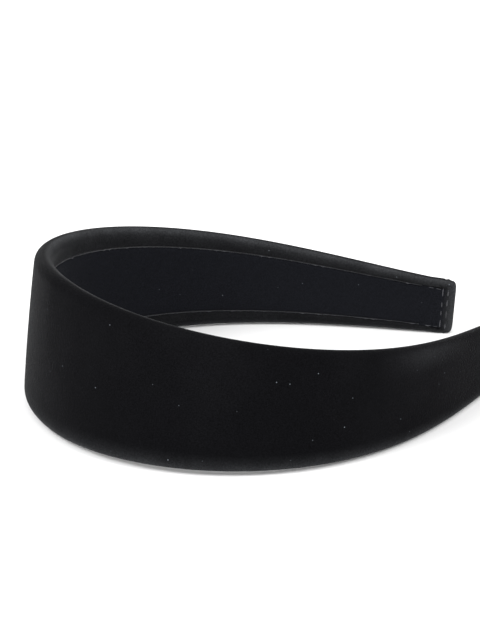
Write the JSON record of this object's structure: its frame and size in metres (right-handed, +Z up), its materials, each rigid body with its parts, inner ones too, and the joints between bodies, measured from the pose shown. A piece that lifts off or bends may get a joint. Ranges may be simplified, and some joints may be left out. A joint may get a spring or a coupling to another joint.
{
  "type": "headband",
  "caption": "Wide padded velvet headband that tapers from the crown to two stitched tips and grips the head by springing inwards.",
  "frame": {"origin": "on the surface the band lies on, under the middle of its bounding box", "axes": "+X from the crown to the tips along the line of symmetry, +Y across the head towards the left arm, +Z up, out of the surface that the band's long edge lies on"},
  "size_m": [0.1478, 0.126, 0.0475],
  "materials": {
    "velvet": "dense cotton-viscose pile velvet, black",
    "lining_velvet": "short-pile velvet lining, blue-black",
    "thread": "spun polyester sewing thread, black, slightly lustrous",
    "core_plastic": "injection-moulded plastic, fine satin",
    "foam": "soft open-cell polyurethane foam, charcoal",
    "tape": "thin double-sided adhesive tape, translucent cream"
  },
  "bodies": {
    "root": {"band_core": "core_plastic", "pad_tape": "tape", "foam_pad": "foam", "velvet_cover": "velvet", "lining_tape": "tape", "lining": "lining_velvet", "upper_seam_thread": "thread", "lower_seam_thread": "thread", "left_end_hem": "velvet", "left_front_row_needle_thread": "thread", "left_front_row_bobbin_thread": "thread", "left_end_row_needle_thread": "thread", "left_end_row_bobbin_thread": "thread", "right_end_hem": "velvet", "right_front_row_needle_thread": "thread", "right_front_row_bobbin_thread": "thread", "right_end_row_needle_thread": "thread", "right_end_row_bobbin_thread": "thread"}
  },
  "joints": []
}
